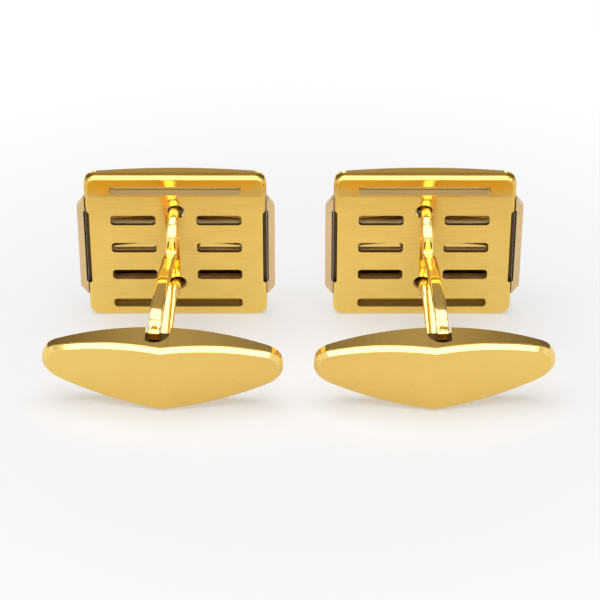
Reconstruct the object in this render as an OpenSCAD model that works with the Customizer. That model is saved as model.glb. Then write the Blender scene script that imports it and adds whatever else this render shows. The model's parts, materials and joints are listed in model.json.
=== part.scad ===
// A pair of rectangular cufflinks, standing on their lower edges as they do on a table.
// Each one has a domed front, a slotted back plate with a pale rail at each side, a link with two
// curved legs, and a boat-shaped toggle that swivels on a pin between the ends of the legs.
// Millimetres. X runs along the pair, Y runs from the toggles to the fronts, Z is up.

/* [Head] */
// Width of the back plate
head_w = 15.2; // [14.6:0.1:18]
// Height of the back plate
head_h = 16.2; // [15.8:0.1:20]
// Depth of the head from the back plate to the middle of the front
head_depth = 2.7; // [2.6:0.05:3.4]
// Corner radius of the head, seen square on
corner_r = 1.0; // [0.7:0.05:1.6]
// How far the front falls away from its middle to its upper and lower edges
dome_rise = 1.35; // [1:0.05:1.4]
// How far the front falls away from its middle to its sides
side_drop = 0.45; // [0.2:0.05:0.5]
// Thickness of the front shell
shell_wall = 0.45; // [0.3:0.05:0.5]

/* [Back plate] */
// Thickness of the back plate
plate_t = 0.7; // [0.5:0.05:0.8]
// Radius of the rounded edge round the back plate
edge_r = 0.32; // [0.15:0.01:0.4]
// Distance between the two leg holes, centre to centre
hole_pitch = 8.4; // [7.8:0.1:9]
// Diameter of a leg hole
hole_d = 1.3; // [1.28:0.01:1.5]
// Width of the chamfer round a leg hole
hole_chamfer = 0.12; // [0.05:0.01:0.2]

/* [Slots] */
// Height of the three rows of short slots
slot_h = 1.13; // [0.8:0.01:1.3]
// Height of the long slots at the top and the bottom
long_slot_h = 1.0; // [0.7:0.05:1.2]
// Distance between two rows of short slots
row_pitch = 3.2; // [2.8:0.05:3.4]
// Plain strip between the two short slots of a row
slot_bridge = 3.4; // [3:0.1:4]
// Distance from a slot's outer end to the side of the plate
slot_side_margin = 2.1; // [1.9:0.1:3]
// Distance from the middle of a long slot to the edge of the plate
long_slot_margin = 1.5; // [1.3:0.05:1.7]
// Corner radius of a slot
slot_corner_r = 0.34; // [0.1:0.01:0.45]

/* [Side rails] */
// How far a side rail stands out from the plate
rail_w = 0.65; // [0.5:0.05:1.2]
// Height of a side rail where it meets the plate
rail_h = 11.4; // [10.4:0.1:12]
// Height of the slanted end of a side rail
rail_slant = 1.05; // [0.5:0.05:1.5]
// Thickness of a side rail
rail_t = 0.5; // [0.4:0.05:0.7]
// How far a side rail's face lies below the plate's face
rail_step = 0.12; // [0.05:0.01:0.2]
// Length of the narrow slot between a side rail and the plate
side_slot_l = 8.5; // [7:0.1:9]
// Depth of that slot into the plate
side_slot_in = 0.33; // [0.2:0.01:0.4]
// Depth of that slot into the rail
side_slot_out = 0.1; // [0.05:0.01:0.2]
// How deep that slot goes, from the plate's outer face
side_slot_depth = 0.42; // [0.3:0.01:0.45]

/* [Link] */
// Diameter of the rod inside the head that the link swings on
rod_d = 0.6; // [0.5:0.05:0.65]
// Distance from the plate's inner face to the middle of the rod
rod_drop = 0.5; // [0.46:0.01:0.55]
// Diameter of a leg where it passes through its hole
leg_root_d = 0.9; // [0.8:0.01:0.9]
// Width of a leg along its length
leg_w = 1.04; // [0.9:0.01:1.1]
// Thickness of a leg where it runs beside the toggle
leg_t = 0.94; // [0.7:0.01:1]
// Thickness of a leg at its waist, near the plate
leg_waist_t = 0.64; // [0.5:0.01:0.7]
// Distance from the plate's outer face to the toggle pin
reach = 13.35; // [13.2:0.05:15]
// Gap between a leg and the toggle when the toggle is folded between the legs
fold_gap = 0.2; // [0.15:0.01:0.3]
// Diameter of the toggle pin
pin_d = 0.5; // [0.4:0.05:0.55]
// Clearance round a pin or a rod that turns
run_gap = 0.03; // [0.02:0.01:0.05]
// Clearance round a pin or a rod that stays put
seat_gap = 0.01; // [0.01:0.005:0.02]

/* [Toggle] */
// Length of the toggle
toggle_l = 19.8; // [19:0.1:20.2]
// Height of the toggle at its middle
toggle_h = 7.16; // [6.8:0.01:7.4]
// Radius of the toggle's two long curved edges
toggle_curve_r = 22.9; // [22:0.1:26]
// Radius of the toggle's rounded ends
toggle_tip_r = 2.2; // [2:0.05:2.3]
// Depth of the toggle at its ridge
toggle_depth = 2.75; // [2.6:0.05:3.2]
// Depth of the toggle at its ends
toggle_tip_depth = 0.85; // [0.7:0.05:1.1]
// Thickness of the brushed cover
cover_t = 0.4; // [0.3:0.05:0.45]
// Width of the polished bevel round the cover, seen square on
bevel_w = 0.42; // [0.2:0.01:0.6]
// Depth of the polished bevel
bevel_t = 0.26; // [0.1:0.01:0.3]
// Distance from the toggle's flat inner face to its pin
pin_inset = 0.5; // [0.45:0.01:0.8]
// Depth of the pockets that the leg ends sit in
pocket_depth = 0.68; // [0.6:0.01:0.9]
// Radius of a pocket
pocket_r = 1.25; // [1.15:0.01:1.4]
// Distance from the pin to a pocket's straight side
pocket_side = 0.74; // [0.73:0.01:0.9]
// How far the toggle's middle lies off its pin, towards the middle of the pair
pin_offset = 0.55; // [0:0.05:0.6]

/* [Pose] */
// Distance between the middles of the two heads
pair_pitch = 20.8; // [20.6:0.1:30]
// How far the left link leans outward, in degrees
left_lean = 5.6; // [0:0.1:7]
// How far the right link leans outward, in degrees
right_lean = 4.6; // [0:0.1:7]
// How far the left toggle is turned from square across its link, in degrees
left_turn = 3; // [0:0.1:5]
// How far the right toggle is turned from square across its link, in degrees
right_turn = 3; // [0:0.1:5]

/* [Hidden] */

// One overrun serves every cut
cut = 0.5;
// Clearance between pieces of one head that touch
fit = 0.02;
// Rim of the front shell is this much smaller than the plate all round, which leaves a fine line
seam_inset = 0.12;
$fn = 64;

// The front is a barrel shape: an arc up the head, swung round a large radius across it
dome_r = (pow(head_h / 2, 2) + pow(dome_rise, 2)) / (2 * dome_rise);
swing_r = (pow(head_w / 2, 2) + pow(side_drop, 2)) / (2 * side_drop);
barrel_block = 3 * head_depth;
barrel_angle = 4 * asin(head_w / 2 / swing_r);

// Slots of the back plate
slot_outer_x = head_w / 2 - slot_side_margin;
slot_inner_x = slot_bridge / 2;
short_slot_l = slot_outer_x - slot_inner_x;
short_slot_x = (slot_outer_x + slot_inner_x) / 2;
long_slot_z = head_h / 2 - long_slot_margin;
row_zs = [-row_pitch, 0, row_pitch];

// Bars behind the slots, and the strips that join them into a ladder
rib_d = 0.5;
rib_strip_w = 0.4;
rib_strip_t = 0.2;
rib_y = plate_t + fit + rib_d / 2;
rib_over = 0.2;

// Pivot inside the head
rod_y = plate_t + rod_drop;
knuckle_share = 0.75;
knuckle_r = rod_d / 2 + knuckle_share * (rod_drop - rod_d / 2);
knuckle_h = leg_root_d;
rod_past = 0.1;
rod_l = hole_pitch + knuckle_h + 2 * rod_past;
block_w = 1.8;
block_h = 2.8;
block_roof = 0.25;
block_depth = rod_drop + rod_d / 2 + block_roof;

// Toggle, in its own frame: X along it, Y up it, Z out of the head from the flat inner face
tip_x = toggle_l / 2 - toggle_tip_r;
roof_slope = (toggle_depth - toggle_tip_depth) / (toggle_l / 2);
curve_centre = toggle_curve_r - toggle_h / 2;

function half_height(x) =
    abs(x) > tip_x
    ? sqrt(max(0, pow(toggle_tip_r, 2) - pow(abs(x) - tip_x, 2)))
    : sqrt(pow(toggle_curve_r, 2) - x * x) - curve_centre;

// End of a leg, round the toggle pin
end_past = 0.52;
end_h = 0.97;
end_lift = 0.12;
end_z = toggle_h / 2 - pocket_depth + end_lift + end_h / 2;
end_top = end_z + end_h / 2;
end_side_gap = 0.07;
end_round_r = pocket_side - end_side_gap;

// Legs, as stations along the centre line of the upper one: distance out from the plate, height,
// half width, half thickness and the roundness exponent of the section. A leg leaves its hole square
// to the plate, falls to its waist, then runs beside the folded toggle and dips into the pocket.
root_z = hole_pitch / 2;
fall_depth = 2.95;
waist_z = 1.78;
waist_n = 2.6;
root_n = 2;
end_n = 8;
folded_tip = reach - toggle_l / 2 - pin_offset;
function beside(s, t) = half_height(min(reach - s - pin_offset, toggle_l / 2)) + fold_gap + t / 2;
// Each pair is a share of fall_depth outward and a share of the way from the hole down to the waist
fall_shares = [
    [0.25, 0.01], [0.39, 0.05], [0.525, 0.165], [0.645, 0.34], [0.73, 0.545], [0.8, 0.765],
    [0.88, 0.93], [1, 1]
];
// Shares of the way from the folded toggle's tip out to the pin
run_shares = [0.12, 0.22, 0.34, 0.48, 0.62, 0.75, 0.86];
swell_share = 0.5;
// Both ends of a leg's curved part are this much slimmer than the straight pieces they run into
sunk_share = 0.97;
function mix(a, b, share) = a + (b - a) * share;
stations = concat(
    [
        [-plate_t / 2, root_z, sunk_share * leg_root_d / 2, sunk_share * leg_root_d / 2, root_n],
        [seat_gap, root_z, sunk_share * leg_root_d / 2, sunk_share * leg_root_d / 2, root_n]
    ],
    [
        for (f = fall_shares)
            [
                f[0] * fall_depth,
                mix(root_z, waist_z, f[1]),
                mix(leg_root_d, leg_w, f[0]) / 2,
                mix(leg_root_d, leg_waist_t, f[0]) / 2,
                mix(root_n, waist_n, f[0])
            ]
    ],
    [
        [folded_tip + 3 * fold_gap, waist_z + 2 * fold_gap, leg_w / 2, leg_waist_t / 2, waist_n]
    ],
    [
        for (share = run_shares)
            let (
                s = mix(folded_tip, reach, share),
                t = mix(leg_waist_t, leg_t, min(1, share / swell_share))
            )
            [s, beside(s, t), leg_w / 2, t / 2, mix(waist_n, end_n, share)]
    ],
    [
        [reach - pocket_r / 2, end_z + fold_gap / 2, leg_w / 2, end_h / 2, end_n],
        [reach - pin_d / 4, end_z, sunk_share * leg_w / 2, sunk_share * end_h / 2, end_n]
    ]
);
steps_each = 3;
section_points = 20;

// Stand: the head leans until its lower edge and the toggle's lower edge share the table
function turned(p, a) = [p[0] * cos(a) - p[1] * sin(a), p[0] * sin(a) + p[1] * cos(a), p[2]];
function on_link(p, lean) = turned(p - [0, rod_y, 0], -lean) + [0, rod_y, 0];
function on_toggle(p, lean, turn) = on_link(turned(p, turn) + [0, -reach, 0], lean);
ridge_low = [pin_offset, -(toggle_depth - pin_inset) + bevel_t, -toggle_h / 2];
ridge_top = [pin_offset, -(toggle_depth - pin_inset), toggle_h / 2 - bevel_w];
function foot(lean, turn) = on_toggle(ridge_low, lean, turn);
function stand_angle(lean, turn) =
    let (
        a = edge_r - foot(lean, turn)[1],
        b = edge_r - foot(lean, turn)[2] - head_h / 2
    )
    asin(edge_r / norm([a, b])) - atan2(b, a);
function foot_drop(angle) = edge_r + (head_h / 2 - edge_r) * cos(angle) - edge_r * sin(angle);
function back_reach(lean, turn) =
    let (p = on_toggle(ridge_top, lean, turn), angle = stand_angle(lean, turn))
    p[1] * cos(angle) - p[2] * sin(angle);
function front_reach(angle) = (head_depth - dome_r) * cos(angle) + dome_r;
left_angle = stand_angle(left_lean, left_turn);
right_angle = stand_angle(right_lean, right_turn);
stand_y = -(min(back_reach(left_lean, left_turn), back_reach(right_lean, right_turn))
    + max(front_reach(left_angle), front_reach(right_angle))) / 2;
outer_tip = [pin_offset - toggle_l / 2, 0, 0];
stand_x = (on_toggle(outer_tip, right_lean, right_turn)[0]
    - on_toggle(outer_tip, left_lean, left_turn)[0]) / 2;

module stand_up(angle) {
    translate([stand_x, stand_y, foot_drop(angle)])
        rotate([angle, 0, 0])
            children();
}

module left() {
    translate([-pair_pitch / 2, 0, 0])
        stand_up(left_angle)
            children();
}

module right() {
    translate([pair_pitch / 2, 0, 0])
        stand_up(right_angle)
            mirror([1, 0, 0])
                children();
}

// Turns children about the rod inside the head
module link(lean) {
    translate([0, rod_y, 0])
        rotate([0, 0, -lean])
            translate([0, -rod_y, 0])
                children();
}

// Turns children about the toggle pin, which stands at their origin
module swivel(turn) {
    translate([0, -reach, 0])
        rotate([0, 0, turn])
            children();
}

// Drawn flat, then stood up with its thickness going into the head
module into_head() {
    rotate([90, 0, 0])
        mirror([0, 0, 1])
            children();
}

// Drawn flat, then stood up with its thickness going out towards the toggle
module out_of_head() {
    rotate([90, 0, 0])
        children();
}

module rounded_rect(w, h, r) {
    square([w - 2 * r, h], center = true);
    square([w, h - 2 * r], center = true);
    for (x = [-w / 2 + r, w / 2 - r], y = [-h / 2 + r, h / 2 - r])
        translate([x, y])
            circle(r);
}

// Solid under the domed front, made smaller all round by inset
module barrel(inset) {
    translate([0, head_depth - swing_r, 0])
        rotate([0, 0, 90 - barrel_angle / 2])
            rotate_extrude(angle = barrel_angle, $fn = 256)
                intersection() {
                    translate([swing_r - dome_r, 0])
                        circle(dome_r - inset, $fn = 256);
                    translate([swing_r - barrel_block, -head_h])
                        square([barrel_block, 2 * head_h]);
                }
}

module shell_space(inset) {
    intersection() {
        barrel(inset);
        translate([0, plate_t + fit, 0])
            into_head()
                linear_extrude(2 * head_depth)
                    rounded_rect(head_w - 2 * (seam_inset + inset), head_h - 2 * (seam_inset + inset),
                        corner_r - seam_inset - inset / 2);
    }
}

module front_shell() {
    color("goldenrod")
        difference() {
            shell_space(0);
            translate([0, -cut, 0])
                shell_space(shell_wall);
            shell_space(shell_wall);
        }
}

module rounded_plate() {
    translate([0, edge_r, 0])
        into_head()
            linear_extrude(plate_t - edge_r)
                rounded_rect(head_w, head_h, corner_r);
    into_head()
        linear_extrude(plate_t)
            rounded_rect(head_w - 2 * edge_r, head_h - 2 * edge_r, corner_r - edge_r);
    for (z = [-1, 1])
        translate([0, edge_r, z * (head_h / 2 - edge_r)])
            rotate([0, 90, 0])
                cylinder(r = edge_r, h = head_w - 2 * corner_r, center = true);
    for (x = [-1, 1])
        translate([x * (head_w / 2 - edge_r), edge_r, 0])
            cylinder(r = edge_r, h = head_h - 2 * corner_r, center = true);
    for (x = [-1, 1], z = [-1, 1])
        translate([x * (head_w / 2 - corner_r), edge_r, z * (head_h / 2 - corner_r)])
            rotate([90, 0, 0])
                rotate_extrude()
                    translate([corner_r - edge_r, 0])
                        circle(edge_r);
}

module slot_cut(x, z, l, h) {
    translate([x, -cut, z])
        into_head()
            linear_extrude(plate_t + 2 * cut)
                rounded_rect(l, h, slot_corner_r);
}

module leg_hole(z) {
    translate([0, -cut, z])
        into_head()
            cylinder(d = hole_d, h = plate_t + 2 * cut);
    translate([0, -hole_chamfer, z])
        into_head()
            cylinder(d1 = hole_d + 4 * hole_chamfer, d2 = hole_d, h = 2 * hole_chamfer);
}

module back_plate() {
    color("gold")
        difference() {
            rounded_plate();
            for (z = row_zs, x = [-short_slot_x, short_slot_x])
                slot_cut(x, z, short_slot_l, slot_h);
            for (z = [-long_slot_z, long_slot_z])
                slot_cut(0, z, 2 * slot_outer_x, long_slot_h);
            for (z = [-root_z, root_z])
                leg_hole(z);
            for (x = [-1, 1])
                translate([x * (head_w / 2 + slot_corner_r - side_slot_in / 2), -cut, 0])
                    into_head()
                        linear_extrude(cut + side_slot_depth)
                            rounded_rect(side_slot_in + 2 * slot_corner_r, side_slot_l, slot_corner_r);
        }
}

// Side rail on the positive side: a flat strip with slanted ends and a narrow blind recess beside
// the plate
module rail() {
    color("wheat")
        translate([head_w / 2 + fit, rail_step, 0])
            into_head()
                difference() {
                    linear_extrude(rail_t)
                        polygon([
                            [0, -rail_h / 2],
                            [rail_w, -rail_h / 2 + rail_slant],
                            [rail_w, rail_h / 2 - rail_slant],
                            [0, rail_h / 2]
                        ]);
                    translate([0, 0, -cut])
                        linear_extrude(cut + side_slot_depth - rail_step)
                            square([2 * side_slot_out, side_slot_l - 2 * side_slot_out], center = true);
                }
}

module inner_rail() {
    rail();
}

module outer_rail() {
    mirror([1, 0, 0])
        rail();
}

module rib(x, z, l) {
    translate([x, rib_y, z])
        rotate([0, 90, 0])
            cylinder(d = rib_d, h = l, center = true, $fn = 32);
}

module rib_strip(x, l) {
    translate([x - rib_strip_w / 2, rib_y - rib_strip_t / 2, -l / 2])
        cube([rib_strip_w, rib_strip_t, l]);
}

module rib_insert() {
    color("darkgoldenrod")
        intersection() {
            shell_space(shell_wall + fit);
            union() {
                for (z = row_zs, x = [-short_slot_x, short_slot_x])
                    rib(x, z, short_slot_l + 2 * rib_over);
                for (z = [-long_slot_z, long_slot_z])
                    rib(0, z, 2 * (slot_outer_x + rib_over));
                for (x = [-1, 1]) {
                    rib_strip(x * (slot_outer_x + rib_over), 2 * long_slot_z);
                    rib_strip(x * (slot_inner_x - rib_over), 2 * long_slot_z);
                }
            }
        }
}

module pivot_block() {
    color("peru")
        difference() {
            translate([-block_w / 2, plate_t, -block_h / 2])
                cube([block_w, block_depth, block_h]);
            translate([0, rod_y, 0])
                cylinder(d = rod_d + 2 * run_gap, h = block_h + 2 * cut, center = true);
        }
}

module link_rod() {
    color("silver")
        translate([0, rod_y, 0])
            cylinder(d = rod_d, h = rod_l, center = true);
}

function mixed(a, b, c, d, t) =
    0.5 * (2 * b + (c - a) * t + (2 * a - 5 * b + 4 * c - d) * t * t
        + (3 * b - a - 3 * c + d) * t * t * t);
last_station = len(stations) - 1;
function station(i) = stations[max(0, min(last_station, i))];
function along(u) =
    let (i = min(last_station - 1, floor(u)))
    mixed(station(i - 1), station(i), station(i + 1), station(i + 2), u - i);
function bulge(v, n) = sign(v) * pow(abs(v), 2 / n);
slope_share = 0.05;
function leg_ring(u) =
    let (
        c = along(u),
        ahead = along(min(last_station, u + slope_share)) - along(max(0, u - slope_share)),
        dir = [ahead[0], ahead[1]] / norm([ahead[0], ahead[1]])
    )
    [
        for (k = [0 : section_points - 1])
            let (
                angle = 360 * (k + 0.5) / section_points,
                across = c[2] * bulge(cos(angle), c[4]),
                up = c[3] * bulge(sin(angle), c[4])
            )
            [across, -(c[0] - up * dir[1]), c[1] + up * dir[0]]
    ];
leg_steps = last_station * steps_each;

module leg_loft() {
    rings = [for (i = [0 : leg_steps]) leg_ring(i / steps_each)];
    n = section_points;
    walls = [
        for (i = [0 : leg_steps - 1], k = [0 : n - 1])
            let (next = (k + 1) % n)
            each [
                [i * n + k, (i + 1) * n + next, i * n + next],
                [i * n + k, (i + 1) * n + k, (i + 1) * n + next]
            ]
    ];
    polyhedron(
        points = [for (ring = rings) each ring],
        faces = concat(
            walls,
            [[for (k = [0 : n - 1]) k]],
            [[for (k = [n - 1 : -1 : 0]) leg_steps * n + k]]
        )
    );
}

module leg() {
    color("khaki")
        difference() {
            union() {
                leg_loft();
                translate([0, rod_y, root_z])
                    cylinder(r = knuckle_r, h = knuckle_h, center = true);
                translate([0, rod_y, root_z])
                    out_of_head()
                        cylinder(d = leg_root_d, h = rod_y);
                translate([0, -reach, end_z])
                    intersection() {
                        cylinder(r = end_round_r, h = end_h, center = true);
                        cube([leg_w, 2 * end_past, end_h], center = true);
                    }
            }
            translate([0, rod_y, 0])
                cylinder(d = rod_d + 2 * seat_gap, h = head_h);
            translate([0, -reach, 0])
                cylinder(d = pin_d + 2 * seat_gap, h = head_h);
        }
}

module upper_leg() {
    leg();
}

// A leg is alike from side to side, so the upper one turned over is the lower one
module lower_leg() {
    rotate([0, 180, 0])
        leg();
}

module toggle_pin() {
    color("silver")
        translate([0, -reach, 0])
            cylinder(d = pin_d, h = 2 * end_top - 2 * fit, center = true);
}

// Outline of the toggle seen square on
module toggle_outline() {
    intersection() {
        translate([0, -curve_centre])
            circle(toggle_curve_r, $fn = 256);
        translate([0, curve_centre])
            circle(toggle_curve_r, $fn = 256);
        union() {
            square([2 * tip_x, toggle_h], center = true);
            for (x = [-tip_x, tip_x])
                translate([x, 0])
                    circle(toggle_tip_r);
        }
    }
}

// Space under the two sloping roofs of the toggle, lowered by drop
module under_roof(drop) {
    rotate([90, 0, 0])
        linear_extrude(2 * toggle_h, center = true)
            polygon([
                [-toggle_l / 2 - cut, 0],
                [toggle_l / 2 + cut, 0],
                [toggle_l / 2 + cut, toggle_tip_depth - roof_slope * cut - drop],
                [0, toggle_depth - drop],
                [-toggle_l / 2 - cut, toggle_tip_depth - roof_slope * cut - drop]
            ]);
}

// Moves the toggle's own frame to the pin
module toggle_frame() {
    translate([pin_offset, pin_inset, 0])
        out_of_head()
            children();
}

// Pocket for the end of a leg: a round recess with one straight side, open to the inner face
module pocket() {
    translate([0, 0, toggle_h / 2 - pocket_depth])
        intersection() {
            union() {
                cylinder(r = pocket_r, h = toggle_h / 2);
                translate([-pocket_r, 0, 0])
                    cube([2 * pocket_r, pin_inset + cut, toggle_h / 2]);
            }
            translate([-pocket_side, -2 * pocket_r, 0])
                cube([3 * pocket_r, 4 * pocket_r, toggle_h / 2]);
        }
}

module toggle_body() {
    color("goldenrod")
        difference() {
            toggle_frame()
                intersection() {
                    linear_extrude(toggle_depth)
                        toggle_outline();
                    under_roof(cover_t);
                }
            pocket();
            mirror([0, 0, 1])
                pocket();
            cylinder(d = pin_d + 2 * run_gap, h = toggle_h + 2 * cut, center = true);
        }
}

outline_steps = 20;
function roof(x) = toggle_depth - roof_slope * abs(x);
// One half of the toggle's outline from its lower end at the ridge round the tip to the upper one,
// made smaller by inset
function half_outline(inset) = [
    for (i = [0 : outline_steps])
        let (
            lean = 90 - 180 * i / outline_steps,
            x = (toggle_l / 2 - inset) * cos(lean),
            z = (half_height(min(x, toggle_l / 2)) - inset) * (lean < 0 ? -1 : 1)
        )
        [x, abs(lean) < 1 ? 0 : z]
];

module cover_half() {
    full = half_outline(0);
    small = half_outline(bevel_w);
    low = [for (p = full) [p[0], p[1], roof(p[0]) - cover_t]];
    mid = [for (p = full) [p[0], p[1], roof(p[0]) - bevel_t]];
    top = [for (p = small) [p[0], p[1], roof(p[0])]];
    n = len(full);
    hull()
        polyhedron(
            points = concat(low, mid, top),
            faces = [for (i = [0 : n - 2]) [i, i + 1, i + 1 + n], [0, n, 2 * n], [1, n + 1, 2 * n + 1]]
        );
}

module toggle_cover() {
    color("gold")
        toggle_frame() {
            cover_half();
            mirror([1, 0, 0])
                cover_half();
        }
}

left() front_shell();  // left_front_shell
left() back_plate();  // left_back_plate
left() outer_rail();  // left_outer_rail
left() inner_rail();  // left_inner_rail
left() rib_insert();  // left_rib_insert
left() pivot_block();  // left_pivot_block
left() link(left_lean) link_rod();  // left_link_rod
left() link(left_lean) upper_leg();  // left_upper_leg
left() link(left_lean) lower_leg();  // left_lower_leg
left() link(left_lean) toggle_pin();  // left_toggle_pin
left() link(left_lean) swivel(left_turn) toggle_body();  // left_toggle_body
left() link(left_lean) swivel(left_turn) toggle_cover();  // left_toggle_cover
right() front_shell();  // right_front_shell
right() back_plate();  // right_back_plate
right() outer_rail();  // right_outer_rail
right() inner_rail();  // right_inner_rail
right() rib_insert();  // right_rib_insert
right() pivot_block();  // right_pivot_block
right() link(right_lean) link_rod();  // right_link_rod
right() link(right_lean) mirror([1, 0, 0]) upper_leg();  // right_upper_leg
right() link(right_lean) mirror([1, 0, 0]) lower_leg();  // right_lower_leg
right() link(right_lean) toggle_pin();  // right_toggle_pin
right() link(right_lean) swivel(right_turn) toggle_body();  // right_toggle_body
right() link(right_lean) swivel(right_turn) toggle_cover();  // right_toggle_cover
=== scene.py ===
import json
from contextlib import contextmanager
from math import atan2, cos, pi, radians, sin, sqrt

import bmesh
import bpy
from mathutils import Matrix, Vector


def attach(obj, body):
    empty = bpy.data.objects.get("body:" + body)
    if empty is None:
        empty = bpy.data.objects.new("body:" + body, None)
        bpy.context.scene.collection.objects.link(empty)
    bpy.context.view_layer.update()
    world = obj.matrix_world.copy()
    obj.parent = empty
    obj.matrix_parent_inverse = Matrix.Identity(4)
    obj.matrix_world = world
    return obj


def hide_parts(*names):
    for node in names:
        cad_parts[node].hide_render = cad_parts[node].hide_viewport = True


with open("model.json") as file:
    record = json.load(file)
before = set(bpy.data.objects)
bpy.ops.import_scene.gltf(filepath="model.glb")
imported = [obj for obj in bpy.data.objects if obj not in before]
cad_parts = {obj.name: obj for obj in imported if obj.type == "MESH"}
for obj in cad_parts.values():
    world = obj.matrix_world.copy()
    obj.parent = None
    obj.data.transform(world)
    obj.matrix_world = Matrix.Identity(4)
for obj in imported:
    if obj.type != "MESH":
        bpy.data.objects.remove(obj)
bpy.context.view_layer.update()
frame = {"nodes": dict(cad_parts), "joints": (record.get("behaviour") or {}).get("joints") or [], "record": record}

# Pieces are made in millimetres, in the own frame of what carries them, then set in place in metres
MM = 0.001

# Back plate
HEAD_W = 15.2
HEAD_H = 16.2
PLATE_T = 0.7
CORNER_R = 1.0
EDGE_R = 0.32
HOLE_PITCH = 8.4
HOLE_D = 1.3
HOLE_CHAMFER = 0.12
SLOT_H = 1.13
LONG_SLOT_H = 1.0
ROW_PITCH = 3.2
SLOT_BRIDGE = 3.4
SLOT_SIDE_MARGIN = 2.1
LONG_SLOT_MARGIN = 1.5
SLOT_CORNER_R = 0.34
MOUTH_DEPTH = 0.27

# Strips behind the long slots
STRIP_W = 11.4
STRIP_Y = 0.74
STRIP_T = 0.08

# Side rails
RAIL_W = 0.65
RAIL_H = 11.4
RAIL_SLANT = 1.05
RAIL_T = 0.5
RAIL_STEP = 0.12
SIDE_SLOT_L = 8.5
SIDE_SLOT_IN = 0.33
SIDE_SLOT_OUT = 0.1
SIDE_SLOT_DEPTH = 0.42
FIT = 0.02

# Link
ROD_Y = 1.2
ROD_D = 0.6
KNUCKLE_R = 0.45
LEG_ROOT_D = 0.9
LEG_W = 1.04
LEG_T = 0.94
LEG_WAIST_T = 0.64
REACH = 13.35
FOLD_GAP = 0.2
FALL_DEPTH = 2.95
WAIST_Z = 1.78
LEG_END_H = 0.97
LEG_END_PAST = 0.52
LEG_END_Z = 3.505
PIN_D = 0.5

# Toggle
TOGGLE_L = 19.8
TOGGLE_H = 7.16
TOGGLE_CURVE_R = 22.9
TOGGLE_TIP_R = 2.2
TOGGLE_DEPTH = 2.75
TOGGLE_TIP_DEPTH = 0.85
COVER_T = 0.4
BEVEL_W = 0.36
BEVEL_T = 0.3
PIN_INSET = 0.5
PIN_OFFSET = 0.55
POCKET_DEPTH = 0.68
POCKET_R = 1.25
POCKET_SIDE = 0.74

# Clearance of pins, fine edges, and the overrun of cuts
RUN_GAP = 0.03
SEAT_GAP = 0.01
SOFT_EDGE = 0.05
OVER = 0.5

# Steps of round shapes
POST_STEPS = 64
CORNER_STEPS = 14
EDGE_STEPS = 10
SLOT_STEPS = 6
SOFT_STEPS = 3
LEG_POINTS = 48
COURSE_STEPS = 5
COURSE_PASSES = 12
NOSE_STEPS = 8
OUTLINE_STEPS = 160

# What counts as one place, as a double, as parallel, as square to an axis and as facing up
SAME_PLACE = 0.001
DOUBLE = 0.0005
PARALLEL = 0.999
SQUARE_ON = 0.99995
FACES_UP = 0.5

joints = {j["name"]: j for j in frame["joints"]}
mounts = {m["name"]: m for m in frame["record"]["mounts"]}


# Camera, in metres, with its lens in millimetres
VIEW_FOOT = Vector((0.00012, 0.00838, 0))
VIEW_RISE = radians(29.3)
VIEW_DISTANCE = 0.318
VIEW_LIFT = 0.0012
LENS = 222
CLIP_START = 0.01


def place_camera():
    toward = Vector((0, -cos(VIEW_RISE), sin(VIEW_RISE)))
    up = Vector((0, sin(VIEW_RISE), cos(VIEW_RISE)))
    camera_data = bpy.data.cameras.new("photo_camera")
    camera_data.lens = LENS
    camera_data.clip_start = CLIP_START
    camera = bpy.data.objects.new("photo_camera", camera_data)
    bpy.context.scene.collection.objects.link(camera)
    camera.location = VIEW_FOOT + toward * VIEW_DISTANCE + up * VIEW_LIFT
    camera.rotation_euler = toward.to_track_quat("Z", "Y").to_euler()
    bpy.context.scene.camera = camera


# Places
def head_place(side):
    """From a head's own frame in millimetres to the pair's in metres. Its x runs across the plate,
    y into the head and z up, from the middle of the plate's back. The right head is mirrored."""
    across = -Vector(mounts[side + "_cuff_face"]["axis"])
    up = Vector(joints[side + "_link_swing"]["axis"])
    along = across.cross(up) * (-1 if side == "right" else 1)
    place = Matrix((along, across, up)).transposed().to_4x4()
    place.translation = Vector(mounts[side + "_cuff_face"]["pos_m"])
    return place @ Matrix.Scale(MM, 4)


def link_place(side):
    """A link has the head's frame while it is straight, and leans about its rod."""
    head = head_place(side)
    pin = head.inverted() @ Vector(joints[side + "_toggle_swivel"]["pos_m"])
    lean = atan2(-pin.x, ROD_Y - pin.y)
    rod = Matrix.Translation((0, ROD_Y, 0))
    return head @ rod @ Matrix.Rotation(-lean, 4, "Z") @ rod.inverted()


def toggle_place(side):
    """A toggle's frame starts from the middle of its inner face."""
    link = link_place(side)
    face = link.inverted().to_3x3() @ Vector(mounts[side + "_toggle_face"]["axis"])
    turn = Matrix.Rotation(atan2(-face.x, face.y), 4, "Z")
    from_pin = Matrix.Translation((PIN_OFFSET, PIN_INSET, 0))
    return link @ Matrix.Translation((0, -REACH, 0)) @ turn @ from_pin


# Modelling
def activate(piece):
    bpy.ops.object.select_all(action="DESELECT")
    piece.select_set(True)
    bpy.context.view_layer.objects.active = piece


@contextmanager
def chosen(piece, kind, test):
    """Opens a piece in edit mode with those verts, edges or faces selected that pass the test."""
    activate(piece)
    bpy.ops.object.mode_set(mode="EDIT")
    bpy.ops.mesh.select_mode(type=kind)
    bpy.ops.mesh.select_all(action="DESELECT")
    mesh = bmesh.from_edit_mesh(piece.data)
    for item in {"VERT": mesh.verts, "EDGE": mesh.edges, "FACE": mesh.faces}[kind]:
        item.select_set(test(item))
    mesh.select_flush_mode()
    bmesh.update_edit_mesh(piece.data)
    yield mesh
    bpy.ops.object.mode_set(mode="OBJECT")


def runs_along(edge, axis):
    way = edge.verts[1].co - edge.verts[0].co
    return abs(way[axis]) > PARALLEL * way.length


def lies_at(item, axis, value):
    return all(abs(v.co[axis] - value) < SAME_PLACE for v in item.verts)


def everything(item):
    return True


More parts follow.
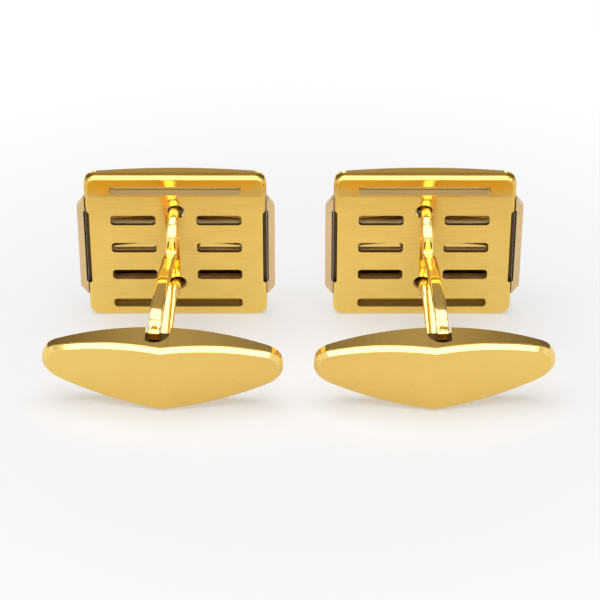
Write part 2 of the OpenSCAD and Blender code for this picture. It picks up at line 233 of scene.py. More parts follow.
def block(name, low, high):
    """A box between two corners."""
    low, high = Vector(low), Vector(high)
    bpy.ops.object.select_all(action="DESELECT")
    bpy.ops.mesh.primitive_cube_add(size=1, location=(low + high) / 2)
    piece = bpy.context.active_object
    piece.name = name
    piece.scale = high - low
    bpy.ops.object.transform_apply(location=True, rotation=False, scale=True)
    return piece


def post(name, radius, start, length, turn=(0, 0, 0), far_radius=None):
    """An upright cylinder, or a cone, that stands on a point, or is turned about it."""
    bpy.ops.object.select_all(action="DESELECT")
    bpy.ops.mesh.primitive_cone_add(
        vertices=POST_STEPS, radius1=radius, radius2=radius if far_radius is None else far_radius,
        depth=length, location=(0, 0, length / 2))
    piece = bpy.context.active_object
    piece.name = name
    bpy.ops.object.transform_apply(location=True, rotation=False, scale=False)
    piece.rotation_euler = turn
    piece.location = start
    bpy.ops.object.transform_apply(location=True, rotation=True, scale=False)
    return piece


def run_modifier(piece, kind, **settings):
    activate(piece)
    bpy.ops.object.modifier_add(type=kind)
    modifier = piece.modifiers[-1]
    for key, value in settings.items():
        setattr(modifier, key, value)
    bpy.ops.object.modifier_apply(modifier=modifier.name)


def combine(piece, others, operation="DIFFERENCE"):
    for other in others:
        run_modifier(piece, "BOOLEAN", object=other, operation=operation, solver="EXACT")
        bpy.data.objects.remove(other)


def soften(piece, width, angle=40):
    """Rounds the edges that are sharper than an angle in degrees."""
    run_modifier(
        piece, "BEVEL", width=width, segments=SOFT_STEPS, limit_method="ANGLE",
        angle_limit=radians(angle))


def close_mesh(piece, smooth_angle=35, plain_faces=True):
    """Merges doubles, points the faces outwards and smooths what is round. Faces that lie square
    to an axis stay plain, so that softened edges don't bend the light on them."""
    with chosen(piece, "VERT", everything):
        bpy.ops.mesh.remove_doubles(threshold=DOUBLE)
        bpy.ops.mesh.select_all(action="SELECT")
        bpy.ops.mesh.normals_make_consistent(inside=False)
    activate(piece)
    bpy.ops.object.shade_smooth_by_angle(angle=radians(smooth_angle))
    for face in piece.data.polygons:
        if plain_faces and max(abs(part) for part in face.normal) > SQUARE_ON:
            face.use_smooth = False
    return piece


def smooth_copy(name, side, place):
    """A CAD node's mesh in its own frame, with its loose triangles merged."""
    piece = bpy.data.objects.new(name, frame["nodes"][side + "_" + name].data.copy())
    bpy.context.scene.collection.objects.link(piece)
    piece.data.transform(place.inverted())
    return close_mesh(piece)


def settle(piece, side, place, body, *finish_names):
    """Sets a finished piece in place on its body, where it stands for the CAD node of its name. Its
    own frame stays with it as an attribute, which its finishes follow."""
    own = piece.data.attributes.new("own", "FLOAT_VECTOR", "POINT")
    for entry, vertex in zip(own.data, piece.data.vertices):
        entry.vector = vertex.co
    piece.data.transform(place)
    if place.to_3x3().determinant() < 0:
        piece.data.flip_normals()
    node = side + "_" + piece.name.split(".")[0]
    piece.name = node + "_dressed"
    parts = [face.material_index for face in piece.data.polygons]
    piece.data.materials.clear()
    for name in finish_names:
        piece.data.materials.append(finishes[name])
    piece.data.polygons.foreach_set("material_index", parts)
    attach(piece, body)
    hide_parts(node)


# Head
def rounded_cutter(x, z, w, h, depth=PLATE_T + OVER):
    """A cutter for a slot with round corners: its middle, width, height and depth."""
    cutter = block("cutter", (x - w / 2, -OVER, z - h / 2), (x + w / 2, depth, z + h / 2))
    with chosen(cutter, "EDGE", lambda e: runs_along(e, 1)):
        bpy.ops.mesh.bevel(offset=SLOT_CORNER_R, segments=SLOT_STEPS, affect="EDGES")
    return cutter


def slots():
    """Middle, width and height of each slot of the plate."""
    outer = HEAD_W / 2 - SLOT_SIDE_MARGIN
    inner = SLOT_BRIDGE / 2
    long_z = HEAD_H / 2 - LONG_SLOT_MARGIN
    short = [
        (s * (outer + inner) / 2, z, outer - inner, SLOT_H)
        for z in (-ROW_PITCH, 0, ROW_PITCH) for s in (-1, 1)]
    return short + [(0, s * long_z, 2 * outer, LONG_SLOT_H) for s in (-1, 1)]


def back_plate():
    """The plate with its round edge, slots and countersunk holes. The slots' walls are parted at
    the depth of their mouths."""
    plate = block("back_plate", (-HEAD_W / 2, 0, -HEAD_H / 2), (HEAD_W / 2, PLATE_T, HEAD_H / 2))
    with chosen(plate, "EDGE", lambda e: runs_along(e, 1)):
        bpy.ops.mesh.bevel(offset=CORNER_R, segments=CORNER_STEPS, affect="EDGES")
    with chosen(plate, "EDGE", lambda e: lies_at(e, 1, 0)):
        bpy.ops.mesh.bevel(offset=EDGE_R, segments=EDGE_STEPS, affect="EDGES")
    combine(plate, [rounded_cutter(*slot) for slot in slots()])
    inward = (-pi / 2, 0, 0)
    for z in (-HOLE_PITCH / 2, HOLE_PITCH / 2):
        hole = post("hole", HOLE_D / 2, (0, -OVER, z), PLATE_T + 2 * OVER, inward)
        mouth = post(
            "mouth", HOLE_D / 2 + 2 * HOLE_CHAMFER, (0, -HOLE_CHAMFER, z), 2 * HOLE_CHAMFER, inward,
            far_radius=HOLE_D / 2)
        combine(plate, [hole, mouth])
    side_x = HEAD_W / 2 + SLOT_CORNER_R - SIDE_SLOT_IN / 2
    side_w = SIDE_SLOT_IN + 2 * SLOT_CORNER_R
    for x in (-side_x, side_x):
        combine(plate, [rounded_cutter(x, 0, side_w, SIDE_SLOT_L, SIDE_SLOT_DEPTH)])
    soften(plate, SOFT_EDGE, angle=50)
    with chosen(plate, "FACE", everything):
        bpy.ops.mesh.bisect(plane_co=(0, MOUTH_DEPTH, 0), plane_no=(0, 1, 0))
    close_mesh(plate)
    colour_slots(plate)
    return plate


def colour_slots(plate):
    """The slots' walls have finish 1, which is painted darker towards the bottom as shade. The side slots, and the
    mouths' lower walls in the two upper rows of short slots, have finish 2, a dark brown that is painted shade in
    these hollows."""
    slots_end = HEAD_H / 2 - LONG_SLOT_MARGIN + LONG_SLOT_H
    for face in plate.data.polygons:
        x, y, z = (abs(v) for v in face.center)
        if in_side_slot(x, y, z):
            face.material_index = 2
        elif y > SOFT_EDGE and x < HEAD_W / 2 - SIDE_SLOT_IN and z < slots_end:
            lower_wall = face.normal.z > FACES_UP and y < MOUTH_DEPTH
            upper_rows = abs(face.center.z - ROW_PITCH / 2) < ROW_PITCH
            face.material_index = 2 if lower_wall and upper_rows else 1


def in_side_slot(x, y, z):
    """Whether a place, folded into one quarter of the head, lies in the narrow slot at its side."""
    beside = abs(x - HEAD_W / 2) < SIDE_SLOT_IN + SOFT_EDGE
    deep = SOFT_EDGE < y < SIDE_SLOT_DEPTH + SOFT_EDGE
    return beside and deep and z < SIDE_SLOT_L / 2 + SOFT_EDGE


def rail(name, way):
    """A flat strip beside the plate with slanted ends and a narrow recess; way is its side."""
    inner = HEAD_W / 2 + FIT
    piece = block(
        name, (inner, RAIL_STEP, -RAIL_H / 2), (inner + RAIL_W, RAIL_STEP + RAIL_T, RAIL_H / 2))
    slimmer = (RAIL_H - 2 * RAIL_SLANT) / RAIL_H
    with chosen(piece, "FACE", lambda f: lies_at(f, 0, inner + RAIL_W)):
        bpy.ops.transform.resize(value=(1, 1, slimmer), center_override=(0, 0, 0))
    recess = SIDE_SLOT_L / 2 - SIDE_SLOT_OUT
    low = (inner - OVER, -OVER, -recess)
    high = (inner + SIDE_SLOT_OUT, SIDE_SLOT_DEPTH, recess)
    combine(piece, [block("cutter", low, high)])
    soften(piece, SOFT_EDGE)
    activate(piece)
    piece.scale.x = way
    bpy.ops.object.transform_apply(location=False, rotation=False, scale=True)
    close_mesh(piece)
    # The narrow recess has finish 1, painted shade in place of the shade that falls inside it; the rest has finish
    # 0.
    for face in piece.data.polygons:
        x, y, z = (abs(v) for v in face.center)
        face.material_index = 1 if x < inner + SIDE_SLOT_OUT + SOFT_EDGE / 2 and z < recess else 0
    return piece


def rib_insert(side, place):
    """The ribs, with a thin strip between them behind each long slot. What lies behind the long slots at the
    strips' depth has finish 1, a darker copy of the inner finish that is painted shade.
    """
    ribs = smooth_copy("rib_insert", side, place)
    slot_z = HEAD_H / 2 - LONG_SLOT_MARGIN
    half_w = STRIP_W / 2
    strip_end = STRIP_Y + STRIP_T
    strips = [
        block("strip", (-half_w, STRIP_Y, z - LONG_SLOT_H), (half_w, strip_end, z + LONG_SLOT_H))
        for z in (-slot_z, slot_z)]
    bpy.ops.object.select_all(action="DESELECT")
    for piece in strips + [ribs]:
        piece.select_set(True)
    bpy.context.view_layer.objects.active = ribs
    bpy.ops.object.join()
    for face in ribs.data.polygons:
        behind_slot = abs(abs(face.center.z) - slot_z) < LONG_SLOT_H + SOFT_EDGE
        face.material_index = 1 if behind_slot and face.center.y < strip_end + SOFT_EDGE else 0
    return ribs


# Link
# Stations along a leg: distance out from the plate, height, half width, half thickness and how
# square the section is. A leg leaves its hole square to the plate, falls to its waist, runs beside
# the folded toggle and dips into its pocket. The shares of the fall are those of the way out and of
# the way down, and the shares of the run those of the way from the folded toggle's tip to its pin.
ROUND, WAIST_SQUARE, END_SQUARE = 2.2, 3.2, 8
FALL_SHARES = [
    (0.25, 0.01), (0.39, 0.05), (0.525, 0.165), (0.645, 0.34),
    (0.73, 0.545), (0.8, 0.765), (0.88, 0.93), (1, 1)]
RUN_SHARES = [0.12, 0.22, 0.34, 0.48, 0.62, 0.75, 0.885]
DIP_SHARE = 0.36
NOSE_R = 0.2


def half_height(x):
    """Half the height of the toggle's solid, which a leg runs beside, away from its middle."""
    tip_x = TOGGLE_L / 2 - TOGGLE_TIP_R
    if abs(x) > tip_x:
        return sqrt(max(0, TOGGLE_TIP_R ** 2 - (abs(x) - tip_x) ** 2))
    return sqrt(TOGGLE_CURVE_R ** 2 - x * x) - TOGGLE_CURVE_R + TOGGLE_H / 2


def mix(a, b, share):
    return a + (b - a) * share


def leg_stations():
    root_z = HOLE_PITCH / 2
    root_r = LEG_ROOT_D / 2
    stations = [(out, root_z, root_r, root_r, ROUND) for out in (-ROD_Y, -PLATE_T / 2, SEAT_GAP)]
    for out, down in FALL_SHARES:
        stations.append((
            out * FALL_DEPTH, mix(root_z, WAIST_Z, down), mix(root_r, LEG_W / 2, out),
            mix(root_r, LEG_WAIST_T / 2, out), mix(ROUND, WAIST_SQUARE, out)))
    folded_tip = REACH - TOGGLE_L / 2 - PIN_OFFSET
    stations.append((
        folded_tip + 3 * FOLD_GAP, WAIST_Z + 2 * FOLD_GAP, LEG_W / 2, LEG_WAIST_T / 2,
        WAIST_SQUARE))
    for share in RUN_SHARES:
        out = mix(folded_tip, REACH, share)
        thick = mix(LEG_WAIST_T, LEG_T, min(1, 2 * share))
        gap = FOLD_GAP / 2 if share == RUN_SHARES[-1] else FOLD_GAP
        beside = half_height(min(REACH - out - PIN_OFFSET, TOGGLE_L / 2)) + gap + thick / 2
        stations.append((out, beside, LEG_W / 2, thick / 2, mix(WAIST_SQUARE, END_SQUARE, share)))
    for out, up in ((REACH - DIP_SHARE * POCKET_R, FOLD_GAP / 2), (REACH, 0)):
        stations.append((out, LEG_END_Z + up, LEG_W / 2, LEG_END_H / 2, END_SQUARE))
    return stations


def between(a, b, c, d, t):
    """A smooth curve from b to c that passes on towards a and d."""
    return 0.5 * (2 * b + (c - a) * t + (2 * a - 5 * b + 4 * c - d) * t * t
                  + (3 * b - a - 3 * c + d) * t * t * t)


def along_leg(stations, u):
    """The leg's measures between its stations, where u counts stations."""
    last = len(stations) - 1
    i = min(last - 1, int(u))
    around = [stations[max(0, min(last, i + k))] for k in (-1, 0, 1, 2)]
    return [between(*values, u - i) for values in zip(*around)]


def smooth_course():
    """Close places along a leg. Its fall is evened out, so that light runs along it without breaks,
    and where it runs beside the folded toggle it stays as it is."""
    stations = leg_stations()
    count = (len(stations) - 1) * COURSE_STEPS + 1
    course = [along_leg(stations, i / COURSE_STEPS) for i in range(count)]
    fall_end = (len(stations) - len(RUN_SHARES) - 2) * COURSE_STEPS
    for _ in range(COURSE_PASSES):
        course = course[:1] + [
            [(a + 2 * b + c) / 4 for a, b, c in zip(*course[i - 1:i + 2])]
            for i in range(1, fall_end)] + course[fall_end:]
    return course


def leg_ring(course, i):
    """The points of a leg's section at a place along it."""
    out, up, half_w, half_t, square = course[i]
    back, ahead = course[max(0, i - 1)], course[min(len(course) - 1, i + 1)]
    way = Vector((ahead[0] - back[0], ahead[1] - back[1])).normalized()
    ring = []
    for k in range(LEG_POINTS):
        angle = 2 * pi * (k + 0.5) / LEG_POINTS
        across, over = (
            size * (1 if value > 0 else -1) * abs(value) ** (2 / square)
            for size, value in ((half_w, cos(angle)), (half_t, sin(angle))))
        ring.append(Vector((across, -(out - over * way.y), up + over * way.x)))
    return ring


def leg(name):
    """A leg is drawn out ring by ring from a circle in its hole, and ends in a rounded nose. The
    lower leg is the upper one turned over."""
    course = smooth_course()
    rings = [leg_ring(course, i) for i in range(len(course))]
    end = rings[-1]
    middle = Vector((0, -REACH, LEG_END_Z))
    for i in range(1, NOSE_STEPS + 1):
        angle = pi / 2 * i / NOSE_STEPS
        past = LEG_END_PAST - NOSE_R * (1 - sin(angle))
        inset = NOSE_R * (1 - cos(angle))
        low = 1 - inset / (LEG_END_H / 2)
        narrow = 1 - inset / (LEG_W / 2)
        rings.append([middle + Vector((p.x * narrow, -past, (p.z - LEG_END_Z) * low)) for p in end])
    bpy.ops.object.select_all(action="DESELECT")
    bpy.ops.mesh.primitive_circle_add(vertices=LEG_POINTS, radius=LEG_ROOT_D / 2, fill_type="NGON")
    piece = bpy.context.active_object
    piece.name = name
    with chosen(piece, "VERT", everything) as mesh:
        for vertex, place in zip(mesh.verts, rings[0]):
            vertex.co = place
        for ring in rings[1:]:
            bpy.ops.mesh.extrude_region_move()
            mesh = bmesh.from_edit_mesh(piece.data)
            moved = sorted((v for v in mesh.verts if v.select), key=lambda v: v.index)
            for vertex, place in zip(moved, ring):
                vertex.co = place
            bmesh.update_edit_mesh(piece.data)
    close_mesh(piece)
    knuckle = post("knuckle", KNUCKLE_R, (0, ROD_Y, (HOLE_PITCH - LEG_ROOT_D) / 2), LEG_ROOT_D)
    combine(piece, [knuckle], "UNION")
    rod_bore = post("bore", ROD_D / 2 + SEAT_GAP, (0, ROD_Y, 0), HEAD_H)
    pin_bore = post("bore", PIN_D / 2 + SEAT_GAP, (0, -REACH, 0), HEAD_H)
    combine(piece, [rod_bore, pin_bore])
    if name == "lower_leg":
        activate(piece)
        piece.rotation_euler.y = pi
        bpy.ops.object.transform_apply(location=False, rotation=True, scale=False)
    return close_mesh(piece, plain_faces=False)


def toggle_pin():
    top = LEG_END_Z + LEG_END_H / 2 - FIT
    pin = post("toggle_pin", PIN_D / 2, (0, -REACH, -top), 2 * top)
    soften(pin, 2 * SOFT_EDGE)
    return close_mesh(pin)


# Toggle
ROOF_SLOPE = (TOGGLE_DEPTH - TOGGLE_TIP_DEPTH) / (TOGGLE_L / 2)
ROOF_NORMAL_Y = -0.97


def outline_height(x):
    """Half the toggle's height as it looks: its round ends run smoothly into its long curves."""
    half, centre = TOGGLE_L / 2, TOGGLE_CURVE_R - TOGGLE_H / 2
    tip_r = (TOGGLE_CURVE_R ** 2 - centre ** 2 - half ** 2) / (2 * (TOGGLE_CURVE_R - half))
    tip_x = half - tip_r
    if abs(x) > tip_x * TOGGLE_CURVE_R / (TOGGLE_CURVE_R - tip_r):
        return sqrt(max(0, tip_r ** 2 - (abs(x) - tip_x) ** 2))
    return sqrt(TOGGLE_CURVE_R ** 2 - x * x) - centre


def boat(name):
    """A block with the toggle's outline, from its inner face out to its full depth."""
    bpy.ops.object.select_all(action="DESELECT")
    bpy.ops.mesh.primitive_circle_add(vertices=OUTLINE_STEPS, radius=1, fill_type="NGON")
    piece = bpy.context.active_object
    piece.name = name
    with chosen(piece, "VERT", everything) as mesh:
        for vertex in mesh.verts:
            angle = atan2(vertex.co.y, vertex.co.x)
            x = TOGGLE_L / 2 * cos(angle)
            vertex.co = (x, 0, outline_height(x) * (1 if angle > 0 else -1))
        bmesh.update_edit_mesh(piece.data)
        bpy.ops.mesh.extrude_region_move(TRANSFORM_OT_translate={"value": (0, -TOGGLE_DEPTH, 0)})
    return piece


def slice_off(piece, point, out):
    """Cuts away what lies beyond a plane, and closes the cut."""
    with chosen(piece, "FACE", everything):
        bpy.ops.mesh.bisect(plane_co=point, plane_no=out, use_fill=True, clear_outer=True)


def pocket(way):
    """The space for a leg's end: a round recess with one straight side, open to the inner face."""
    floor = TOGGLE_H / 2 - POCKET_DEPTH
    space = post("pocket", POCKET_R, (-PIN_OFFSET, -PIN_INSET, floor), TOGGLE_H)
    mouth = block(
        "mouth", (-PIN_OFFSET - POCKET_R, -PIN_INSET, floor),
        (-PIN_OFFSET + POCKET_R, OVER, floor + TOGGLE_H))
    keep = block(
        "keep", (-PIN_OFFSET - POCKET_SIDE, -TOGGLE_H, 0), (2 * TOGGLE_H, TOGGLE_H, 2 * TOGGLE_H))
    combine(space, [mouth], "UNION")
    combine(space, [keep], "INTERSECT")
    activate(space)
    space.scale.z = way
    bpy.ops.object.transform_apply(location=False, rotation=False, scale=True)
    return close_mesh(space)


def toggle_body():
    """The body ends below the cover. Only the floors of its pockets have finish 1, a dark brown that is painted
    shade.
    """
    body = boat("toggle_body")
    for way in (-1, 1):
        slice_off(body, (0, COVER_T - TOGGLE_DEPTH, 0), (way * ROOF_SLOPE, -1, 0))
    close_mesh(body)
    bore = post("bore", PIN_D / 2 + RUN_GAP, (-PIN_OFFSET, -PIN_INSET, -TOGGLE_H), 2 * TOGGLE_H)
    combine(body, [pocket(-1), pocket(1), bore])
    soften(body, SOFT_EDGE, angle=50)
    close_mesh(body, smooth_angle=20)
    floor = TOGGLE_H / 2 - POCKET_DEPTH
    for face in body.data.polygons:
        x, y, z = face.center
        from_pin = Vector((x + PIN_OFFSET, y + PIN_INSET)).length
        inside = from_pin < POCKET_R + SOFT_EDGE and y < -SOFT_EDGE
        face.material_index = 1 if inside and abs(abs(z) - floor) < SOFT_EDGE else 0
    return body


def toggle_cover():
    """The cover follows the roof. It is made as one half and mirrored, and its top is inset and
    raised. The roof and the lower bevel have finish 0, and the rest has finish 1."""
    cover = boat("toggle_cover")
    slice_off(cover, (0, 0, 0), (-1, 0, 0))
    slice_off(cover, (0, BEVEL_T - TOGGLE_DEPTH, 0), (ROOF_SLOPE, -1, 0))
    slice_off(cover, (0, COVER_T - TOGGLE_DEPTH, 0), (-ROOF_SLOPE, 1, 0))
    with chosen(cover, "FACE", lambda f: lies_at(f, 0, 0)):
        bpy.ops.mesh.delete(type="ONLY_FACE")
    run_modifier(cover, "MIRROR", use_mirror_merge=True, merge_threshold=DOUBLE)
    close_mesh(cover)
    with chosen(cover, "FACE", lambda f: f.normal.y < ROOF_NORMAL_Y):
        bpy.ops.mesh.inset(thickness=BEVEL_W, use_even_offset=True)
        bpy.ops.transform.translate(value=(0, -BEVEL_T, 0))
    soften(cover, 0.6 * SOFT_EDGE, angle=25)
    close_mesh(cover, smooth_angle=20)
    for face in cover.data.polygons:
        roof = face.normal.y < ROOF_NORMAL_Y
        face.use_smooth = not roof
        face.material_index = 0 if roof or face.normal.z < 0 else 1
    return cover


# Finishes
class Sock:
    """A shader value that takes part in sums: each one adds its Math node."""

    def __init__(self, finish, output):
        self.finish = finish
        self.output = output

    def __add__(self, other):
        return self.finish.maths("ADD", self, other)

    def __sub__(self, other):
        return self.finish.maths("SUBTRACT", self, other)

    def __rsub__(self, other):
        return self.finish.maths("SUBTRACT", other, self)

    def __mul__(self, other):
        return self.finish.maths("MULTIPLY", self, other)


class Finish:
    """The nodes of a material, of the world or of a lamp."""

    def __init__(self, owner):
        owner.use_nodes = True
        self.tree = owner.node_tree
        self.tree.nodes.clear()

    def node(self, kind, values=None, output=0, **settings):
        """Adds a node: its settings first, then the values or links of its sockets."""
        node = self.tree.nodes.new("ShaderNode" + kind)
        for key, value in settings.items():
            setattr(node, key, value)
        for key, value in (values or {}).items():
            if isinstance(value, Sock):
                self.tree.links.new(value.output, node.inputs[key])
            elif isinstance(value, tuple) and len(node.inputs[key].default_value) > len(value):
                node.inputs[key].default_value = (*value, 1)
            else:
                node.inputs[key].default_value = value
        return Sock(self, node.outputs[output]) if len(node.outputs) else None

    def maths(self, operation, a, b):
        return self.node("Math", {0: a, 1: b}, operation=operation)

    def limited(self, value, low, high, to_low=0.0, to_high=1.0):
        """Maps a range onto another and holds it there."""
        return self.node("MapRange", {
            "Value": value, "From Min": low, "From Max": high, "To Min": to_low, "To Max": to_high})

    def noise(self, place, stretch, detail):
        spread = self.node("Mapping", {"Vector": place, "Scale": stretch})
        return self.node("TexNoise", {"Vector": spread, "Scale": 1.0, "Detail": detail})

    def rays(self):
        """1 where the camera looks, else 0, and the same for what the metal mirrors."""
        return [self.node("LightPath", output=kind) for kind in ("Is Camera Ray", "Is Glossy Ray")]

    def mixed(self, factor, a, b):
        """A mix of two colours. Sockets go by number, as other kinds of mix share their names."""
        return self.node("Mix", {0: factor, 6: a, 7: b}, output=2, data_type="RGBA")


# Sizes of the clouds and the fine clouds in a metal, the ranges that its colour and its gloss are
# spread from, and the shares that clouds, fine clouds and grain have in its gloss
CLOUDS = (0.45, 0.45, 0.45)
FINE_CLOUDS = (3.0, 3.0, 3.0)
TINT_RANGE = (0.1, 0.9)
GLOSS_RANGE = (0.35, 0.65)
GLOSS_SHARES = (0.5, 0.2, 0.3)

# Light and dark shade of each metal
PLATE = (0.97, 0.70, 0.185), (0.76, 0.49, 0.11)
PALE = (0.80, 0.60, 0.33), (0.72, 0.52, 0.27)
GOLD = (0.97, 0.70, 0.23), (0.93, 0.65, 0.19)
BRUSHED = (0.92, 0.65, 0.17), (0.81, 0.545, 0.15)
INNER = (0.97, 0.84, 0.56), (0.46, 0.29, 0.09)
# Painted shade: the strips behind the long slots take a darker copy of the inner colours, for the dim inside of
# the head
STRIP = (0.58, 0.42, 0.14), (0.42, 0.28, 0.08)
# Painted shade: a dark brown that stands in for the shade in the slots, the rails' recesses and the toggles'
# pockets
PAINTED_SHADE = (0.14, 0.08, 0.024), (0.08, 0.045, 0.013)
STEEL = (0.66, 0.65, 0.63), (0.55, 0.54, 0.52)


def metal(name, shades, roughness, grain, grain_depth, grain_colour, smudge,
          metallic=1.0, painted_dimming_way=(0, 0, 0), roll=None):
    """A metal finish. grain stretches its fine lines, which show in the relief by grain_depth and in the colour by
    grain_colour, and smudge is how much its gloss varies. Its colour also darkens slowly along a given way, which
    is painted shade: one side or end of a part darker as if less light fell on it. roll is the height past which
    the face bends a little, and its slope there."""
    material = bpy.data.materials.new(name)
    finish = Finish(material)
    own = finish.node("Attribute", attribute_name="own", output="Vector")
    lines = finish.noise(own, grain, detail=3)
    clouds = finish.noise(own, CLOUDS, detail=3)
    fine = finish.noise(own, FINE_CLOUDS, detail=2)
    # Painted shade: the colour darkens along the given way
    painted_darkness = finish.node(
        "VectorMath", {0: own, 1: painted_dimming_way}, output="Value", operation="DOT_PRODUCT")
    tint = finish.limited(lines * grain_colour + clouds * (1 - grain_colour) - painted_darkness, *TINT_RANGE)
    shade = finish.mixed(tint, shades[1], shades[0])
    cloud_share, fine_share, line_share = GLOSS_SHARES
    gloss = finish.limited(
        clouds * cloud_share + fine * fine_share + lines * line_share, *GLOSS_RANGE,
        roughness - smudge, roughness + smudge)
    relief = lines * grain_depth
    if roll:
        start, slope = roll
        height = finish.node("SeparateXYZ", {"Vector": own}, output="Z")
        relief = relief - finish.maths("MAXIMUM", height - start, 0.0) * slope
    bump = finish.node("Bump", {"Height": relief, "Strength": 1.0, "Distance": MM})
    shader = finish.node("BsdfPrincipled", {
        "Base Color": shade, "Metallic": metallic, "Roughness": gloss, "Normal": bump})
    finish.node("OutputMaterial", {"Surface": shader})
    return material


def make_finishes():
    return {
        # Painted shade: the plate darkens towards its top, in place of the darker reflection on its upper part
        "satin": metal(
            "satin_gold", PLATE, roughness=0.09, grain=(0.3, 1.0, 14.0), grain_depth=0.0006,
            grain_colour=0.6, smudge=0.03, painted_dimming_way=(0, 0, 0.04), roll=(5.95, 0.07)),
        "pale": metal(
            "pale_satin_gold", PALE, roughness=0.26, grain=(6.0, 6.0, 0.6), grain_depth=0.001,
            grain_colour=0.5, smudge=0.03),
        "polished": metal(
            "polished_gold", GOLD, roughness=0.09, grain=(1.2, 1.2, 1.2), grain_depth=0.001,
            grain_colour=0.3, smudge=0.02),
        # Painted shade: the toggle's face darkens towards its own +x, as if light fell from the other side
        "brushed": metal(
            "brushed_gold", BRUSHED, roughness=0.3, grain=(0.25, 1.0, 16.0), grain_depth=0.0025,
            grain_colour=0.6, smudge=0.04, painted_dimming_way=(0.03, 0, 0)),
        # Painted shade: the inside of the head is pale at the top and dark brown at the bottom, as if less light
        # reached its lower slots
        "inner": metal(
            "inner_satin", INNER, roughness=0.36, grain=(1.0, 5.0, 5.0), grain_depth=0.001,
            grain_colour=0.5, smudge=0.06, metallic=0.6, painted_dimming_way=(0, 0, -0.1)),
        # Painted shade: a darker copy of the inner finish, for the strips in the dim inside of the head
        "strip": metal(
            "strip_satin", STRIP, roughness=0.36, grain=(0.4, 5.0, 5.0), grain_depth=0.001,
            grain_colour=0.5, smudge=0.06, metallic=0.6),
        # Painted shade for the hollows, a dark brown where shade falls
        "stain": metal(
            "slot_stain", PAINTED_SHADE, roughness=0.5, grain=(3.0, 3.0, 1.0), grain_depth=0.001,
            grain_colour=0.5, smudge=0.08, metallic=0.8),
        "steel": metal(
            "pin_steel", STEEL, roughness=0.18, grain=(2.0, 2.0, 12.0), grain_depth=0.0008,
            grain_colour=0.5, smudge=0.03),
    }


# Floor, room and panels, in metres
WHITE = (1.0, 1.0, 1.0)
FLOOR_SIZE = 3
FLOOR_COLOUR = (0.95, 0.935, 0.89)
FLOOR_PLAIN = 0.4
FLOOR_NEAR = 0.024
FLOOR_FAR = 0.055
ROOM_FRONT = (0.8, 0.8, 0.8)
ROOM_BACK = (0.40, 0.35, 0.28)
ROOM_CORNER = (0.16, 0.13, 0.10)
ROOM_LEAN = 0.3
ROOM_BEHIND = (0.35, 0.75)
ROOM_ASIDE = (0.1, 0.6)
ROOM_FILL = 0.4
PANEL_TINT = (1.0, 1.02, 1.12)
PANEL_LEVEL = 2.3


def make_floor():
    """A white floor. To the camera and in the metal it is partly plain white near the pair, which
    keeps soft shadows, and all plain white further off."""
    bpy.ops.object.select_all(action="DESELECT")
    bpy.ops.mesh.primitive_plane_add(size=FLOOR_SIZE)
    floor = bpy.context.active_object
    floor.name = "floor"
    material = bpy.data.materials.new("floor_white")
    finish = Finish(material)
    camera, glossy = finish.rays()
    lit = finish.node("BsdfDiffuse", {"Color": FLOOR_COLOUR})
    plain = finish.node("Emission", {"Color": WHITE, "Strength": 1.0})
    place = finish.node("TexCoord", output="Object")
    away = finish.node("VectorMath", {0: place}, output="Value", operation="LENGTH")
    share = (camera + glossy) * finish.limited(away, FLOOR_NEAR, FLOOR_FAR, FLOOR_PLAIN, 1)
    surface = finish.node("MixShader", {0: share, 1: lit, 2: plain})
    finish.node("OutputMaterial", {"Surface": surface})
    floor.data.materials.append(material)


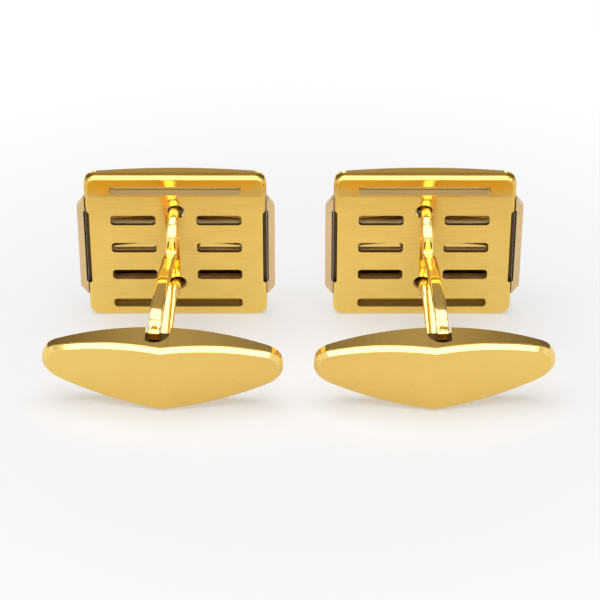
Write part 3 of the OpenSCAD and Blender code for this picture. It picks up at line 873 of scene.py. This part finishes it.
def make_world():
    """A white room, darker behind the pair and most of all in its far corners. The metal mirrors
    it, the camera sees it plain white, and it lights the floor with its fill."""
    world = bpy.data.worlds.new("studio")
    bpy.context.scene.world = world
    finish = Finish(world)
    way = finish.node("TexCoord", output="Generated")
    across, back, height = (
        finish.node("SeparateXYZ", {"Vector": way}, output=axis) for axis in "XYZ")
    aside = finish.maths("ABSOLUTE", across, 0.0)
    behind = finish.limited(back + height * ROOM_LEAN, *ROOM_BEHIND)
    wall = finish.mixed(finish.limited(aside, *ROOM_ASIDE), ROOM_BACK, ROOM_CORNER)
    shade = finish.mixed(behind, ROOM_FRONT, wall)
    camera, glossy = finish.rays()
    seen = finish.mixed(camera, shade, WHITE)
    strength = finish.limited(camera + glossy, 0, 1, ROOM_FILL, 1.0)
    room = finish.node("Background", {"Color": seen, "Strength": strength})
    finish.node("OutputWorld", {"Surface": room})


def make_panel(name, place, width, height, lights_floor=True):
    """A soft panel that faces the pair. One that doesn't light the floor doesn't light it by way of
    the metal either."""
    data = bpy.data.lights.new(name, "AREA")
    data.shape = "RECTANGLE"
    data.color = PANEL_TINT
    data.size = width
    data.size_y = height
    data.energy = PANEL_LEVEL * pi * width * height
    lamp = bpy.data.objects.new(name, data)
    bpy.context.scene.collection.objects.link(lamp)
    lamp.location = place
    lamp.rotation_euler = Vector(place).to_track_quat("Z", "Y").to_euler()
    lamp.visible_camera = False
    if not lights_floor:
        lamp.visible_diffuse = False
        finish = Finish(data)
        after_floor = finish.limited(finish.node("LightPath", output="Diffuse Depth"), 0, 1)
        glow = finish.node("Emission", {"Strength": 1 - after_floor})
        finish.node("OutputLight", {"Surface": glow})


place_camera()
make_floor()
make_world()
make_panel("front_panel", place=(0, -0.6, 0.235), width=1.5, height=0.5, lights_floor=False)
make_panel("top_panel", place=(-0.05, -0.12, 0.6), width=0.7, height=0.66)
bpy.context.scene.view_settings.view_transform = "Standard"

finishes = make_finishes()
for side in ("left", "right"):
    head = head_place(side)
    settle(back_plate(), side, head, "heads", "satin", "inner", "stain")
    settle(rail("inner_rail", 1), side, head, "heads", "pale", "stain")
    settle(rail("outer_rail", -1), side, head, "heads", "pale", "stain")
    settle(smooth_copy("front_shell", side, head), side, head, "heads", "polished")
    settle(rib_insert(side, head), side, head, "heads", "inner", "strip")
    settle(smooth_copy("pivot_block", side, head), side, head, "heads", "inner")
    link = link_place(side)
    settle(smooth_copy("link_rod", side, link), side, link, side + "_link", "steel")
    settle(leg("upper_leg"), side, link, side + "_link", "polished")
    settle(leg("lower_leg"), side, link, side + "_link", "polished")
    settle(toggle_pin(), side, link, side + "_link", "polished")
    toggle = toggle_place(side)
    settle(toggle_body(), side, toggle, side + "_toggle", "polished", "stain")
    settle(toggle_cover(), side, toggle, side + "_toggle", "brushed", "polished")
